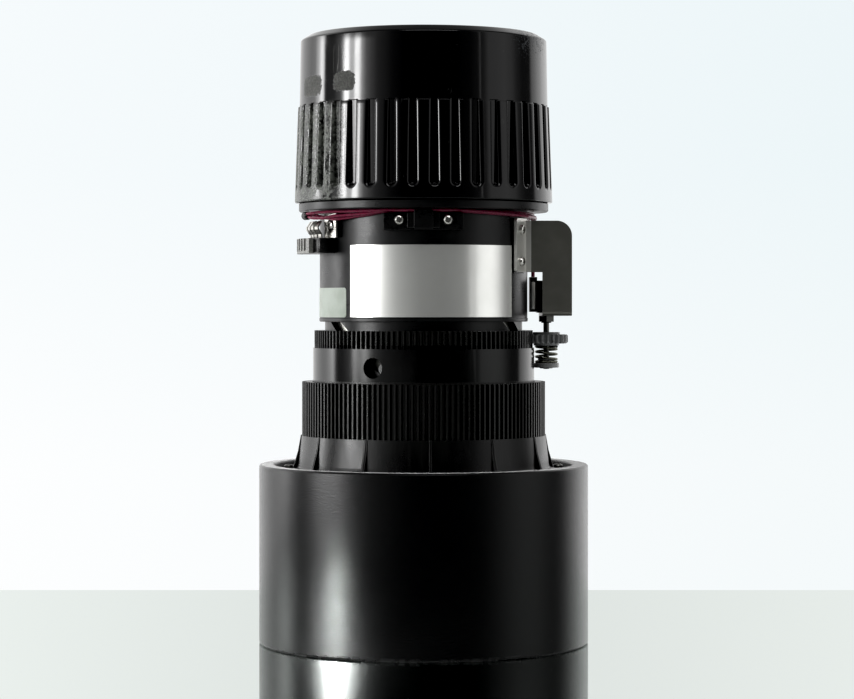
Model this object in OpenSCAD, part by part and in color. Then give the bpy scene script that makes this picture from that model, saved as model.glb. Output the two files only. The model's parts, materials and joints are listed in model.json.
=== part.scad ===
// Zoom projection lens, standing on the front rim of its hood.
// Origin: centre of the hood's front rim. +Z runs along the optical axis
// towards the rear cap, -Y is the side with the nameplate.

/* [Hood] */
// Outside radius of the hood
hood_r = 56; // [55:0.5:58]
// Height of the hood's rear rim
hood_h = 60.6; // [60:0.1:61]
// Radius of the straight mouth inside the hood
hood_mouth_r = 53.4; // [52.8:0.1:53.6]

/* [Focus ring] */
// Tooth module of both ring gears and of the pinion
gear_m = 0.6; // [0.6:0.1:0.6]
// Teeth on the focus ring
focus_teeth = 136; // [134:1:137]
// Height where the focus teeth start
focus_z0 = 70.5; // [69:0.1:72]
// Height where the focus teeth end
focus_z1 = 88.7; // [87:0.1:89]
// Radial fit between the focus ring and the helicoid base
focus_fit = 0.1; // [0.05:0.01:0.2]

/* [Zoom ring] */
// Teeth on the zoom ring
zoom_teeth = 122; // [122:1:122]
// Height where the zoom teeth start
zoom_z0 = 100.2; // [99.8:0.1:100.6]
// Height where the zoom teeth end
zoom_z1 = 106.1; // [105.5:0.1:107]
// Outside radius of the smooth collar of the zoom ring
collar_r = 37.7; // [37.5:0.05:37.7]
// Diameter of the three access holes in the collar
access_d = 6.9; // [5:0.1:7.5]
// Turn of the zoom ring from wide to tele in degrees
zoom_turn = 60; // [50:1:60]

/* [Zoom cam] */
// Travel of the variator group
variator_travel = 24; // [20:0.5:24]
// Travel of the compensator group, towards the front
compensator_travel = 8.5; // [6:0.5:8.5]
// Diameter of the cam rollers
roller_d = 4; // [3:0.1:4]
// Width of the cam slots and of the straight slots
slot_w = 4.1; // [4.05:0.05:4.2]

/* [Barrels] */
// Outside radius of the main barrel
barrel_r = 35.4; // [35:0.1:35.6]
// Inside radius of the main barrel
barrel_ri = 33.7; // [33.65:0.05:33.8]
// Lower end of the main barrel
barrel_z0 = 109.1; // [108.5:0.1:109.5]
// Height of the mounting face under the flange
flange_z0 = 146.4; // [146:0.1:147]
// Radius of the mounting flange
flange_r = 42.5; // [42:0.1:43]
// Outside radius of the rear barrel
rear_r = 30; // [29:0.5:30]
// Rear end of the rear barrel
rear_z1 = 192; // [188:1:194]

/* [Rear cap] */
// Outside radius of the cap at its open end
cap_r = 43.9; // [43.5:0.1:44.5]
// Number of grip grooves round the cap
cap_grooves = 38; // [36:1:40]
// Width of a grip groove
cap_groove_w = 2.5; // [2:0.1:3]
// Top of the cap
cap_z1 = 206.5; // [204:0.5:208]

/* [Zoom sensor] */
// Teeth on the sensor pinion
pinion_teeth = 23; // [23:1:23]
// Direction of the pinion axis, seen from above
pinion_ang = 13.36; // [12:0.01:15]
// Number of coils on the clutch spring
spring_coils = 4; // [3:1:5]

/* [Hidden] */
$fn = 120;

zoom_rp = gear_m * zoom_teeth / 2;
pinion_rp = gear_m * pinion_teeth / 2;
centre_d = zoom_rp + pinion_rp;
px = centre_d * cos(pinion_ang);
py = centre_d * sin(pinion_ang);
focus_tip = gear_m * focus_teeth / 2 + gear_m;
focus_root = gear_m * focus_teeth / 2 - 1.25 * gear_m;
helicoid_r = 37.9;
focus_ri = helicoid_r + focus_fit;
cell_r = 33.95;
cell_bore = 34;
guide_ro = 31.5;
guide_ri = 30;
cam_ri = 31.55;
cam_ro = 33.6;
group_r = 29.6;
roller_r = roller_d / 2;
var_z = 93.5;      // height of the variator rollers at wide
comp_z = 137;      // height of the compensator rollers at wide
var_ang = -113;    // direction of the first variator roller
comp_ang = -53;    // direction of the first compensator roller
bracket_ang = -27; // direction of the sensor bracket's flange
cap_r1 = 42.8;
cap_step_z = 181.9;

// ---- general shapes -------------------------------------------------

module ring(ro, ri, z0, z1) {
    difference() {
        translate([0, 0, z0]) cylinder(r = ro, h = z1 - z0);
        translate([0, 0, z0 - 1]) cylinder(r = ri, h = z1 - z0 + 2);
    }
}

// Part of a ring, from direction a0 to a1.
module arc_ring(ro, ri, z0, z1, a0, a1) {
    rotate([0, 0, a0]) rotate_extrude(angle = a1 - a0)
        translate([ri, z0]) square([ro - ri, z1 - z0]);
}

// Lens with a cylindrical edge from e0 to e1 and flats outside radius rc.
// A positive radius is a convex face, a negative one a concave face.
module lens(r, rc, e0, e1, r1, r2) {
    difference() {
        union() {
            translate([0, 0, e0]) cylinder(r = r, h = e1 - e0);
            if (r1 > 0) intersection() {
                translate([0, 0, e0 + sqrt(r1 * r1 - rc * rc)])
                    sphere(r = r1, $fn = 300);
                translate([0, 0, e0 - 12]) cylinder(r = r, h = 12.2);
            }
            if (r2 > 0) intersection() {
                translate([0, 0, e1 - sqrt(r2 * r2 - rc * rc)])
                    sphere(r = r2, $fn = 300);
                translate([0, 0, e1 - 0.2]) cylinder(r = r, h = 12.2);
            }
        }
        if (r1 < 0) translate([0, 0, e0 - sqrt(r1 * r1 - rc * rc)])
            sphere(r = -r1, $fn = 300);
        if (r2 < 0) translate([0, 0, e1 + sqrt(r2 * r2 - rc * rc)])
            sphere(r = -r2, $fn = 300);
    }
}

// Screw with its seat at the origin, the head above and the shank below.
module screw(sr, len, hr, hh, cross = 1) {
    difference() {
        union() {
            translate([0, 0, -len]) cylinder(r = sr, h = len + 0.1, $fn = 24);
            rotate_extrude($fn = 48) polygon([[0, 0], [hr, 0], [hr, hh * 0.45],
                [hr * 0.86, hh * 0.8], [hr * 0.55, hh], [0, hh]]);
        }
        if (cross > 0) for (a = [0, 90]) rotate([0, 0, a + 20])
            translate([-hr * 0.62, -hr * 0.13, hh * 0.42])
                cube([hr * 1.24, hr * 0.26, hh]);
    }
}

// ---- gears ----------------------------------------------------------

function involute(a) = tan(a) - a * PI / 180;
function half_angle(n, r, play) = let (rp = gear_m * n / 2,
    rb = rp * cos(20), a = r > rb ? acos(rb / r) : 0)
    (PI / 2 / n - play / 2 / rp + involute(20) - involute(a)) * 180 / PI;
function polar(r, a) = [r * cos(a), r * sin(a)];
function gear_points(n, radii, play, phase) = [for (k = [0:n - 1])
    let (c = phase + k * 360 / n, m = len(radii)) for (i = [0:2 * m - 1])
        i < m ? polar(radii[i], c - half_angle(n, radii[i], play))
              : polar(radii[2 * m - 1 - i],
                      c + half_angle(n, radii[2 * m - 1 - i], play))];

module zoom_gear_2d() {
    polygon(gear_points(zoom_teeth, [zoom_rp - 0.75, zoom_rp, zoom_rp + 0.6],
        0.05, pinion_ang + 180 / zoom_teeth));
}

module pinion_2d() {
    polygon(gear_points(pinion_teeth,
        [pinion_rp - 0.75, pinion_rp * cos(20) + 0.01, pinion_rp,
         pinion_rp + 0.3, pinion_rp + 0.6], 0.05, pinion_ang + 180));
}

module focus_gear_2d() {
    polygon([for (k = [0:focus_teeth - 1]) let (c = k * 360 / focus_teeth)
        for (q = [[focus_root, -0.84], [focus_tip, -0.42],
                  [focus_tip, 0.42], [focus_root, 0.84]])
            polar(q[0], c + q[1])]);
}

// ---- tubes along a route -------------------------------------------

function unit(v) = v / norm(v);
function smooth(p, n) = [for (i = [0:len(p) - 2]) let (
        a = p[max(i - 1, 0)], b = p[i], c = p[i + 1],
        d = p[min(i + 2, len(p) - 1)])
    for (k = [0:(i == len(p) - 2 ? n : n - 1)]) let (t = k / n)
        0.5 * (2 * b + (c - a) * t + (2 * a - 5 * b + 4 * c - d) * t * t
            + (3 * b - a - 3 * c + d) * t * t * t)];
function tangent(p, i) = unit(p[min(i + 1, len(p) - 1)] - p[max(i - 1, 0)]);

// Round tube of radius r with s sides; side(i) is measured from the
// direction in ref, which is never parallel to the route.
module tube(p, ref, r, s) {
    n = len(p);
    pts = [for (i = [0:n - 1]) let (t = tangent(p, i),
            u = unit(cross(t, ref[i])), v = cross(t, u))
        for (k = [0:s - 1]) p[i] + r * (cos(k * 360 / s) * u
            + sin(k * 360 / s) * v)];
    faces = concat(
        [[for (k = [0:s - 1]) k]],
        [for (i = [0:n - 2]) for (k = [0:s - 1]) let (a = i * s + k,
            b = i * s + (k + 1) % s) each [[a, a + s, b], [b, a + s, b + s]]],
        [[for (k = [0:s - 1]) (n - 1) * s + s - 1 - k]]);
    polyhedron(points = pts, faces = faces);
}

// ---- hood and focus ring -------------------------------------------

module hood() {
    color([0.05, 0.05, 0.055]) difference() {
        rotate_extrude($fn = 180) polygon(concat(
            [[hood_r - 0.5, 0], [hood_r, 0.5], [hood_r, hood_h - 0.5],
             [hood_r - 0.5, hood_h], [51.1, hood_h], [50.75, hood_h - 0.4],
             [50.75, 57], [41, 57], [41, 53.8], [49.4, 53.8],
             [52.8, 50.4]],
            // light-trap ridges
            [for (k = [0:8]) each [[52.8, 49.4 - 3.2 * k],
                [hood_mouth_r - 0.2, 49.4 - 3.2 * k], [52.8, 46.8 - 3.2 * k]]],
            [[hood_mouth_r - 0.55, 20.2], [hood_mouth_r - 0.55, 13.2],
             [hood_mouth_r, 13.2], [hood_mouth_r, 0.8],
             [hood_mouth_r + 0.8, 0]]));
        for (a = [0:60:300]) rotate([0, 0, a + 2])
            translate([46, 0, 53]) cylinder(r = 1.02, h = 5, $fn = 24);
    }
}

module hood_baffle() {
    color([0.03, 0.03, 0.03]) rotate_extrude() polygon([
        [47.4, 14.6], [49.6, 13.4], [52.82, 13.4], [52.82, 16.4],
        [50.6, 16.4], [48.4, 16.8], [48.4, 16], [47.4, 16]]);
}

module hood_screws() {
    color([0.75, 0.75, 0.74]) for (a = [0:60:300]) rotate([0, 0, a + 2])
        translate([46, 0, 59.4]) screw(1, 5, 1.6, 1.1);
}

module focus_ring() {
    color([0.09, 0.09, 0.095]) difference() {
        union() {
            translate([0, 0, focus_z0]) linear_extrude(focus_z1 - focus_z0)
                focus_gear_2d();
            // skirt with its foot flange
            rotate_extrude() polygon([[39, focus_z0], [39, 57.05],
                [48, 57.05], [48, 58.9], [47.6, 59.4], [44, 59.4],
                [43.3, 59.6], [42.9, 60.1], [42.7, 61], [41.6, focus_z0]]);
            for (a = [3:30:333]) rotate([0, 0, a - 90])
                translate([0, 0.6, 0]) rotate([90, 0, 0])
                    linear_extrude(1.2) polygon([[41, 59.3], [44.3, 59.3],
                        [44.2, 60], [42.7, 65.2], [41.75, focus_z0 + 0.1],
                        [41, focus_z0 + 0.1]]);
        }
        translate([0, 0, 50]) cylinder(r = focus_ri, h = 50);
        // seat of the front cell's flange and of the retainer
        translate([0, 0, 50]) cylinder(r = 40, h = 15.9);
        for (a = [0:60:300]) rotate([0, 0, a + 2])
            translate([46, 0, 56]) cylinder(r = 1.05, h = 5, $fn = 24);
    }
}

module focus_retainer() {
    color([0.1, 0.1, 0.1]) difference() {
        ring(39.98, 34, 58.4, 62);
        for (a = [0:90:270]) rotate([0, 0, a])
            translate([35.4, -1, 58]) cube([2.4, 2, 1.4]);
    }
}

// ---- front optical group -------------------------------------------

module front_cell() {
    color([0.12, 0.12, 0.13]) difference() {
        union() {
            ring(cell_r, 29, 50, 79);
            ring(39.95, 30, 62.3, 65.6);
        }
        translate([0, 0, 49]) cylinder(r = 31, h = 27);
        // keyways for the three key pins
        for (a = [90:120:330]) rotate([0, 0, a]) {
            translate([32.4, -1.55, 74 - 1.6]) cube([3, 3.1, 8]);
        }
    }
}

module front_bell() {
    color([0.07, 0.07, 0.075]) rotate_extrude() polygon([
        [43.05, 18], [46.1, 18], [46.5, 18.4], [46.5, 38], [37.5, 50],
        [37.5, 56.5], [cell_r + 0.02, 56.5], [cell_r + 0.02, 50],
        [31, 50], [31, 48], [33.05, 48], [33.05, 38], [36, 36.6],
        [40.5, 36.6], [40.5, 35], [43.05, 35]]);
}

module front_element_1() {
    color([0.6, 0.75, 0.7, 0.5]) lens(43, 40.4, 27, 35, 140, -90);
}

module front_element_2() {
    color([0.6, 0.7, 0.75, 0.5]) lens(33, 30.8, 39.6, 48, -95, -80);
}

module front_element_3() {
    color([0.65, 0.7, 0.75, 0.5]) lens(30.95, 28.8, 69, 76, 75, 90);
}

module front_lock_rings() {
    color([0.05, 0.05, 0.05]) {
        ring(43.03, 40.6, 22.6, 27);
        ring(33.03, 31, 37.8, 39.6);
        ring(30.98, 29, 66.8, 69);
    }
}

// ---- fixed inner barrels -------------------------------------------

module helicoid_base() {
    color([0.72, 0.7, 0.62]) difference() {
        ring(helicoid_r, cell_bore, 66.1, 79.7);
        for (a = [90:120:330]) rotate([0, 0, a]) translate([33, 0, 74])
            rotate([0, 90, 0]) cylinder(r = 1.51, h = 6, $fn = 32);
        for (a = [30:90:300]) rotate([0, 0, a]) translate([35.6, 0, 73])
            cylinder(r = 1.02, h = 8, $fn = 24);
    }
}

module helicoid_screws() {
    color([0.75, 0.75, 0.74]) for (a = [30:90:300]) rotate([0, 0, a])
        translate([35.6, 0, 81.5]) screw(1, 5.6, 1.5, 0.9);
}

module key_pins() {
    color([0.8, 0.8, 0.8]) for (a = [90:120:330]) rotate([0, 0, a])
        translate([32.7, 0, 74]) rotate([0, 90, 0])
            cylinder(r = 1.5, h = 5.1, $fn = 32);
}

// Slot that runs straight along the axis, round at both ends.
module straight_slot(a, z0, z1, r0, r1) {
    w = slot_w / 2;
    rotate([0, 0, a]) translate([r0, 0, 0]) rotate([90, 0, 90])
        linear_extrude(r1 - r0) polygon(concat(
            [for (t = [0:15:180]) [w * cos(t), z1 + w * sin(t)]],
            [for (t = [180:15:360]) [w * cos(t), z0 + w * sin(t)]]));
}

module guide_barrel() {
    color([0.7, 0.7, 0.7]) difference() {
        rotate_extrude() polygon([[guide_ri, 79.75], [37.6, 79.75],
            [37.6, 82.7], [guide_ro, 82.7], [guide_ro, 143.5],
            [guide_ri, 143.5]]);
        for (k = [0:2]) {
            straight_slot(var_ang + 120 * k, var_z, var_z + variator_travel,
                29, 33);
            straight_slot(comp_ang + 120 * k, comp_z - compensator_travel,
                comp_z, 29, 33);
        }
        for (a = [30:90:300]) rotate([0, 0, a]) {
            translate([35.6, 0, 79]) cylinder(r = 1.05, h = 5, $fn = 24);
            translate([35.6, 0, 81.5]) cylinder(r = 1.6, h = 3, $fn = 32);
        }
    }
}

// Slanted slot of the cam barrel: the roller starts at direction a, height
// z, and rises by dz while the barrel turns forward by zoom_turn.
module cam_slot(a, z, dz) {
    n = 24;
    rm = (cam_ri + cam_ro) / 2;
    slope = atan2(dz, rm * zoom_turn * PI / 180);
    // half width measured along the circumference and along the axis
    wa = slot_w / 2 * sin(slope) / rm * 180 / PI;
    wz = slot_w / 2 * cos(slope);
    pts = [for (i = [0:n]) let (c = a - zoom_turn * i / n, h = z + dz * i / n)
        for (q = [[30.5, 1], [34.6, 1], [34.6, -1], [30.5, -1]])
            [q[0] * cos(c + q[1] * wa), q[0] * sin(c + q[1] * wa),
             h + q[1] * wz]];
    faces = concat([[3, 2, 1, 0]],
        [for (i = [0:n - 1]) for (k = [0:3]) let (p = 4 * i + k,
            q = 4 * i + (k + 1) % 4) each [[p, q, p + 4], [q, q + 4, p + 4]]],
        [[4 * n, 4 * n + 1, 4 * n + 2, 4 * n + 3]]);
    polyhedron(points = pts, faces = faces);
    for (e = [0, 1]) rotate([0, 0, a - zoom_turn * e])
        translate([30.5, 0, z + dz * e]) rotate([0, 90, 0])
            cylinder(r = slot_w / 2, h = 4.1, $fn = 48);
}

module cam_barrel() {
    color([0.72, 0.71, 0.68]) difference() {
        ring(cam_ro, cam_ri, 83.3, 140.2);
        for (k = [0:2]) {
            cam_slot(var_ang + 120 * k, var_z, variator_travel);
            cam_slot(comp_ang + 120 * k, comp_z, -compensator_travel);
        }
        for (a = [60:120:300]) rotate([0, 0, a]) translate([30, 0, 86])
            rotate([0, 90, 0]) cylinder(r = 1.02, h = 6, $fn = 24);
    }
}

module zoom_ring() {
    color([0.08, 0.08, 0.085]) difference() {
        union() {
            translate([0, 0, zoom_z0]) linear_extrude(zoom_z1 - zoom_z0)
                zoom_gear_2d();
            translate([0, 0, 83.3]) cylinder(r = collar_r, h = zoom_z0 - 83.3);
        }
        translate([0, 0, 80]) cylinder(r = cam_ro + 0.02, h = 30);
        for (k = [0:2]) rotate([0, 0, -116.5 + 120 * k])
            translate([30, 0, 93.9]) rotate([0, 90, 0])
                cylinder(r = access_d / 2, h = 10, $fn = 60);
        for (a = [60:120:300]) rotate([0, 0, a]) {
            translate([30, 0, 86]) rotate([0, 90, 0])
                cylinder(r = 1.05, h = 9, $fn = 24);
            translate([36, 0, 86]) rotate([0, 90, 0])
                cylinder(r = 1.8, h = 3, $fn = 24);
        }
    }
}

module zoom_ring_screws() {
    color([0.75, 0.75, 0.74]) for (a = [60:120:300]) rotate([0, 0, a])
        translate([36, 0, 86]) rotate([0, 90, 0]) screw(1, 4.2, 1.7, 1.2);
}

// ---- zoom groups ----------------------------------------------------

module roller(z) {
    difference() {
        union() {
            translate([27.5, 0, z]) rotate([0, 90, 0])
                cylinder(r = 1.2, h = 3, $fn = 32);
            translate([30.1, 0, z]) rotate([0, 90, 0])
                cylinder(r = roller_r, h = 3.3, $fn = 48);
        }
        translate([32.9, -0.3, z - 1.5]) cube([1, 0.6, 3]);
    }
}

module variator_cell() {
    color([0.1, 0.1, 0.1]) difference() {
        ring(group_r, 25.4, 87.5, 99.5);
        translate([0, 0, 87]) cylinder(r = 27.02, h = 11.3);
        for (k = [0:2]) rotate([0, 0, var_ang + 120 * k])
            translate([26, 0, var_z]) rotate([0, 90, 0])
                cylinder(r = 1.21, h = 5, $fn = 32);
    }
}

module variator_rollers() {
    color([0.82, 0.82, 0.82]) for (k = [0:2])
        rotate([0, 0, var_ang + 120 * k]) roller(var_z);
}

module variator_lens_a() {
    color([0.6, 0.7, 0.75, 0.5]) lens(27, 25.2, 89.6, 93, -120, -70);
}

module variator_lens_b() {
    color([0.65, 0.7, 0.75, 0.5]) lens(27, 25.2, 93.2, 98.3, -80, -110);
}

module variator_lock_ring() {
    color([0.05, 0.05, 0.05]) ring(27, 25.4, 87.8, 89.6);
}

module compensator_cell() {
    color([0.1, 0.1, 0.1]) difference() {
        ring(group_r, 25.4, 133, 141.5);
        translate([0, 0, 134.2]) cylinder(r = 27.02, h = 9);
        for (k = [0:2]) rotate([0, 0, comp_ang + 120 * k])
            translate([26, 0, comp_z]) rotate([0, 90, 0])
                cylinder(r = 1.21, h = 5, $fn = 32);
    }
}

module compensator_rollers() {
    color([0.82, 0.82, 0.82]) for (k = [0:2])
        rotate([0, 0, comp_ang + 120 * k]) roller(comp_z);
}

module compensator_lens() {
    color([0.6, 0.7, 0.75, 0.5]) lens(27, 25.2, 134.2, 139.6, -90, 160);
}

module compensator_lock_ring() {
    color([0.05, 0.05, 0.05]) ring(27, 25.4, 139.6, 141.3);
}

// ---- main barrel, flange and rear barrel ---------------------------

module main_barrel() {
    color([0.08, 0.085, 0.09]) difference() {
        union() {
            ring(barrel_r, barrel_ri, barrel_z0, flange_z0);
            // lip at the open end
            rotate_extrude() polygon([[barrel_ri, barrel_z0],
                [barrel_r - 0.15, barrel_z0], [barrel_r + 0.15, 109.4],
                [barrel_r + 0.15, 110.2], [barrel_r - 0.1, 110.4],
                [barrel_ri, 110.4]]);
            // thick ring that takes the flange screws
            ring(barrel_r, guide_ro + 0.02, 140.6, flange_z0);
            // flat pad under the sensor bracket
            rotate([0, 0, bracket_ang]) translate([34, -3.9, 125.4])
                cube([1.9, 7.8, 18.4]);
        }
        // tapped holes of the sensor bracket
        for (z = [129.3, 140]) rotate([0, 0, bracket_ang])
            translate([33.9, -0.4, z]) rotate([0, 90, 0])
                cylinder(r = 1.02, h = 4, $fn = 24);
        // tapped holes of the lock block
        for (x = [-8, 8]) translate([x, -31.9, 142.6]) rotate([90, 0, 0])
            cylinder(r = 1.02, h = 6, $fn = 24);
        // tapped holes of the flange screws
        for (a = [0:60:300]) rotate([0, 0, a]) translate([33.5, 0, 141.4])
            cylinder(r = 1.02, h = 8, $fn = 24);
        // tapped hole of the contact plate
        rotate([0, 0, -150]) translate([33.5, 2.3, 141.4])
            rotate([0, 90, 0]) cylinder(r = 1.02, h = 5, $fn = 24);
    }
}

module mount_flange() {
    color([0.07, 0.07, 0.075]) difference() {
        rotate_extrude($fn = 150) polygon([[30.05, flange_z0],
            [flange_r - 0.35, flange_z0], [flange_r, flange_z0 + 0.35],
            [flange_r, 149], [flange_r - 0.3, 149.3], [30.05, 149.3]]);
        for (a = [0:60:300]) rotate([0, 0, a]) translate([33.5, 0, 140])
            cylinder(r = 1.05, h = 12, $fn = 24);
        // three through holes for fixing the lens to a plate
        for (a = [100:120:340]) rotate([0, 0, a]) translate([40.3, 0, 140])
            cylinder(r = 1.25, h = 12, $fn = 32);
    }
}

module bayonet_ring() {
    color([0.62, 0.62, 0.6]) difference() {
        union() {
            ring(36.6, 30.3, 149.3, 156);
            for (a = [30:120:270]) arc_ring(39.95, 36, 152.4, 155.4,
                a - 20, a + 20);
        }
        for (a = [0:60:300]) rotate([0, 0, a]) {
            translate([33.5, 0, 148]) cylinder(r = 1.05, h = 12, $fn = 24);
            translate([33.5, 0, 154]) cylinder(r = 1.9, h = 4, $fn = 32);
        }
    }
}

module flange_screws() {
    color([0.75, 0.75, 0.74]) for (a = [0:60:300]) rotate([0, 0, a])
        translate([33.5, 0, 154]) screw(1, 12, 1.75, 1.2);
}

module rear_barrel() {
    color([0.09, 0.09, 0.095]) difference() {
        union() {
            translate([0, 0, 143.6]) cylinder(r = 31.45, h = 2.75);
            translate([0, 0, 143.6]) cylinder(r = rear_r - 0.5, h = 12.8);
            translate([0, 0, 156.3]) cylinder(r = rear_r,
                h = rear_z1 - 156.8);
            translate([0, 0, rear_z1 - 0.5]) cylinder(r1 = rear_r,
                r2 = rear_r - 0.5, h = 0.5);
        }
        translate([0, 0, 140]) cylinder(r = 25.4, h = 60);
        translate([0, 0, 146]) cylinder(r = 27.02, h = 60);
    }
}

module rear_element_1() {
    color([0.6, 0.7, 0.75, 0.5]) lens(27, 25.2, 146, 151, 130, 75);
}

module rear_element_2() {
    color([0.65, 0.7, 0.75, 0.5]) lens(27, 25.2, 160, 166, -85, 120);
}

module rear_element_3() {
    color([0.6, 0.72, 0.7, 0.5]) lens(27, 25.2, 178, 184, 90, 85);
}

module rear_spacers() {
    color([0.05, 0.05, 0.05]) {
        ring(27, 25.5, 151, 160);
        ring(27, 25.5, 166, 178);
    }
}

module rear_lock_ring() {
    color([0.05, 0.05, 0.05]) difference() {
        ring(27, 25.3, 184, 186.6);
        for (a = [0, 180]) rotate([0, 0, a]) translate([25, -1, 185.6])
            cube([3, 2, 2]);
    }
}

module rear_cap() {
    zt = cap_z1;
    color([0.04, 0.04, 0.045]) difference() {
        rotate_extrude($fn = 180) polygon([[cap_r - 0.3, 149.4],
            [cap_r, 149.7], [cap_r1, cap_step_z], [42.3, cap_step_z],
            [41.9, zt - 2.2], [41.6, zt - 1.8], [38.9, zt - 0.15],
            [38.4, zt], [0, zt], [0, zt - 2.6], [37.2, zt - 2.6],
            [39, zt - 4.6], [39.8, 160.5], [40, 159.5], [40, 150],
            [40.4, 149.4]]);
        // grip grooves, closed and round at the lower end
        for (k = [0:cap_grooves - 1])
            rotate([0, 0, (k + 0.5) * 360 / cap_grooves - 90])
                translate([41.7, 0, 155.35]) rotate([90, 0, 90])
                    linear_extrude(4) polygon(concat(
                        [for (t = [180:22.5:360]) cap_groove_w / 2
                            * [cos(t), sin(t)]],
                        [[cap_groove_w / 2, cap_step_z - 155],
                         [-cap_groove_w / 2, cap_step_z - 155]]));
        // shallow dish in the end face
        translate([0, 0, zt - 0.7]) cylinder(r = 33, h = 2);
    }
}

// ---- plates and the block on the main barrel -----------------------

module nameplate() {
    color([0.78, 0.78, 0.76]) arc_ring(barrel_r + 0.3, barrel_r + 0.01,
        110.7, 134.6, -133, -34.5);
}

module serial_label() {
    color([0.75, 0.79, 0.74]) intersection() {
        ring(barrel_r + 0.13, barrel_r + 0.01, 110, 122);
        rotate([0, 0, -159]) translate([20, 0, 115.55]) rotate([90, 0, 90])
            linear_extrude(20) union() {
                square([27.2, 7.9], center = true);
                square([25.2, 9.9], center = true);
                for (x = [-12.6, 12.6], y = [-3.95, 3.95])
                    translate([x, y]) circle(r = 1, $fn = 24);
            }
    }
}

module lock_block() {
    color([0.04, 0.04, 0.045]) difference() {
        union() {
            translate([-13.1, -38.4, 139.4]) cube([26.2, 8, 5.5]);
            translate([-5.3, -39.4, 140.1]) cube([10.6, 1.6, 5]);
            translate([-3.1, -40.4, 139.8]) cube([6.2, 2.4, 5]);
            translate([-3.1, -40.4, 139.8]) cube([6.2, 1.3, 6.2]);
        }
        translate([0, 0, 130]) cylinder(r = barrel_r + 0.01, h = 30);
        for (x = [-8, 8]) translate([x, -30, 142.6]) rotate([90, 0, 0])
            cylinder(r = 1.05, h = 12, $fn = 24);
    }
}

module lock_block_screws() {
    color([0.8, 0.79, 0.74]) for (x = [-8, 8])
        translate([x, -38.4, 142.6]) rotate([90, 0, 0])
            screw(1, 6.2, 1.58, 1.1);
}

// ---- contact assembly on the left ----------------------------------

module contact_bracket() {
    color([0.05, 0.05, 0.05]) difference() {
        rotate([0, 0, -150]) translate([33, -2, 137.15]) cube([3.6, 8, 8.1]);
        translate([0, 0, 130]) cylinder(r = barrel_r + 0.01, h = 30);
        rotate([0, 0, -150]) translate([33.5, 2.3, 141.4])
            rotate([0, 90, 0]) cylinder(r = 1.05, h = 5, $fn = 24);
    }
}

module contact_plate() {
    color([0.7, 0.7, 0.7]) rotate([0, 0, -150]) difference() {
        translate([36.6, -2, 137.15]) cube([0.6, 8, 8.1]);
        translate([36, 2.3, 141.4]) rotate([0, 90, 0])
            cylinder(r = 2.15, h = 3, $fn = 40);
    }
}

module contact_plate_screw() {
    color([0.8, 0.8, 0.78]) rotate([0, 0, -150])
        translate([36.6, 2.3, 141.4]) rotate([0, 90, 0])
            screw(1, 3, 1.55, 1.1);
}

// Leaf springs that stand on the connector block.
module contact_springs() {
    color([0.82, 0.8, 0.74]) for (a = [-152.5, -157.5, -162.5, -167.5])
        rotate([0, 0, a]) {
            translate([0, 1.2, 0]) rotate([90, 0, 0]) linear_extrude(2.4)
                polygon([[38.6, 136.2], [39, 136.2], [39.3, 138.4],
                    [40.5, 140], [40.6, 140.8], [39.4, 142.6],
                    [39.2, 142.9], [38.9, 142.6], [40.1, 140.7],
                    [40, 140.2], [38.9, 138.6]]);
        }
}

module connector_block() {
    color([0.04, 0.04, 0.04]) difference() {
        arc_ring(41.6, barrel_r + 0.01, 132.1, 137.1, -187, -146);
        for (a = [-152.5, -157.5, -162.5, -167.5]) rotate([0, 0, a])
            translate([38.5, -1.25, 136.1]) cube([0.75, 2.5, 2]);
    }
}

module contact_comb() {
    color([0.72, 0.72, 0.7]) difference() {
        arc_ring(43.2, 41.62, 132.1, 137.1, -187, -152.5);
        // flutes, closed and round at the lower end
        for (k = [0:6]) rotate([0, 0, -157.2 - 4.3 * k]) {
            translate([42.4, -0.85, 133.6]) cube([2, 1.7, 4]);
            translate([42.4, 0, 133.6]) rotate([0, 90, 0])
                cylinder(r = 0.85, h = 2, $fn = 24);
        }
    }
}

// ---- wires ----------------------------------------------------------

// Routes as [direction from -Y, radius, height], from the left end to
// the sensor.
wire_a = [[-70.5, 41, 144.3], [-67, 41, 144], [-63, 40.3, 143.8],
    [-57, 39.35, 143.8], [-50, 38.8, 144.3], [-42, 37.95, 144.5],
    [-31, 37.6, 144.9], [-22, 37.4, 145.5], [-11, 37.3, 145.65],
    [0, 37.22, 145.7], [10, 37.22, 145.7], [20, 37.22, 145.7],
    [40, 37.22, 145.7],
    [60, 37.2, 145.6], [75, 37.2, 145.5], [88, 37.3, 145.4],
    [97, 37.6, 144.6], [100.6, 38.1, 142], [101.3, 38.4, 137],
    [101.5, 38.4, 131], [101.5, 38.4, 127], [101.5, 38.4, 124.4]];
wire_b = [[-70.5, 40.2, 145.2], [-66, 39, 144.7], [-61, 38.1, 144],
    [-57, 38.05, 143.72], [-53, 38.25, 143.4], [-50, 38.2, 143.3],
    [-46.5, 37.3, 143.5], [-43, 36.75, 143.7], [-38, 36.35, 144.1],
    [-30, 36.15, 144.6], [-22, 36.12, 145.5],
    [-11, 36.12, 145.65], [0, 36.12, 145.7], [10, 36.12, 145.7],
    [20, 36.16, 145.65],
    [40, 36.18, 145.1], [60, 36.16, 144.7], [75, 36.18, 144.5],
    [90, 36.25, 144.3], [96, 36.35, 144.1], [101.5, 36.85, 143.5], [105, 38.3, 141],
    [105.4, 38.9, 137], [105.5, 39, 131], [105.5, 39.07, 127],
    [105.5, 39.07, 124.4]];
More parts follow.
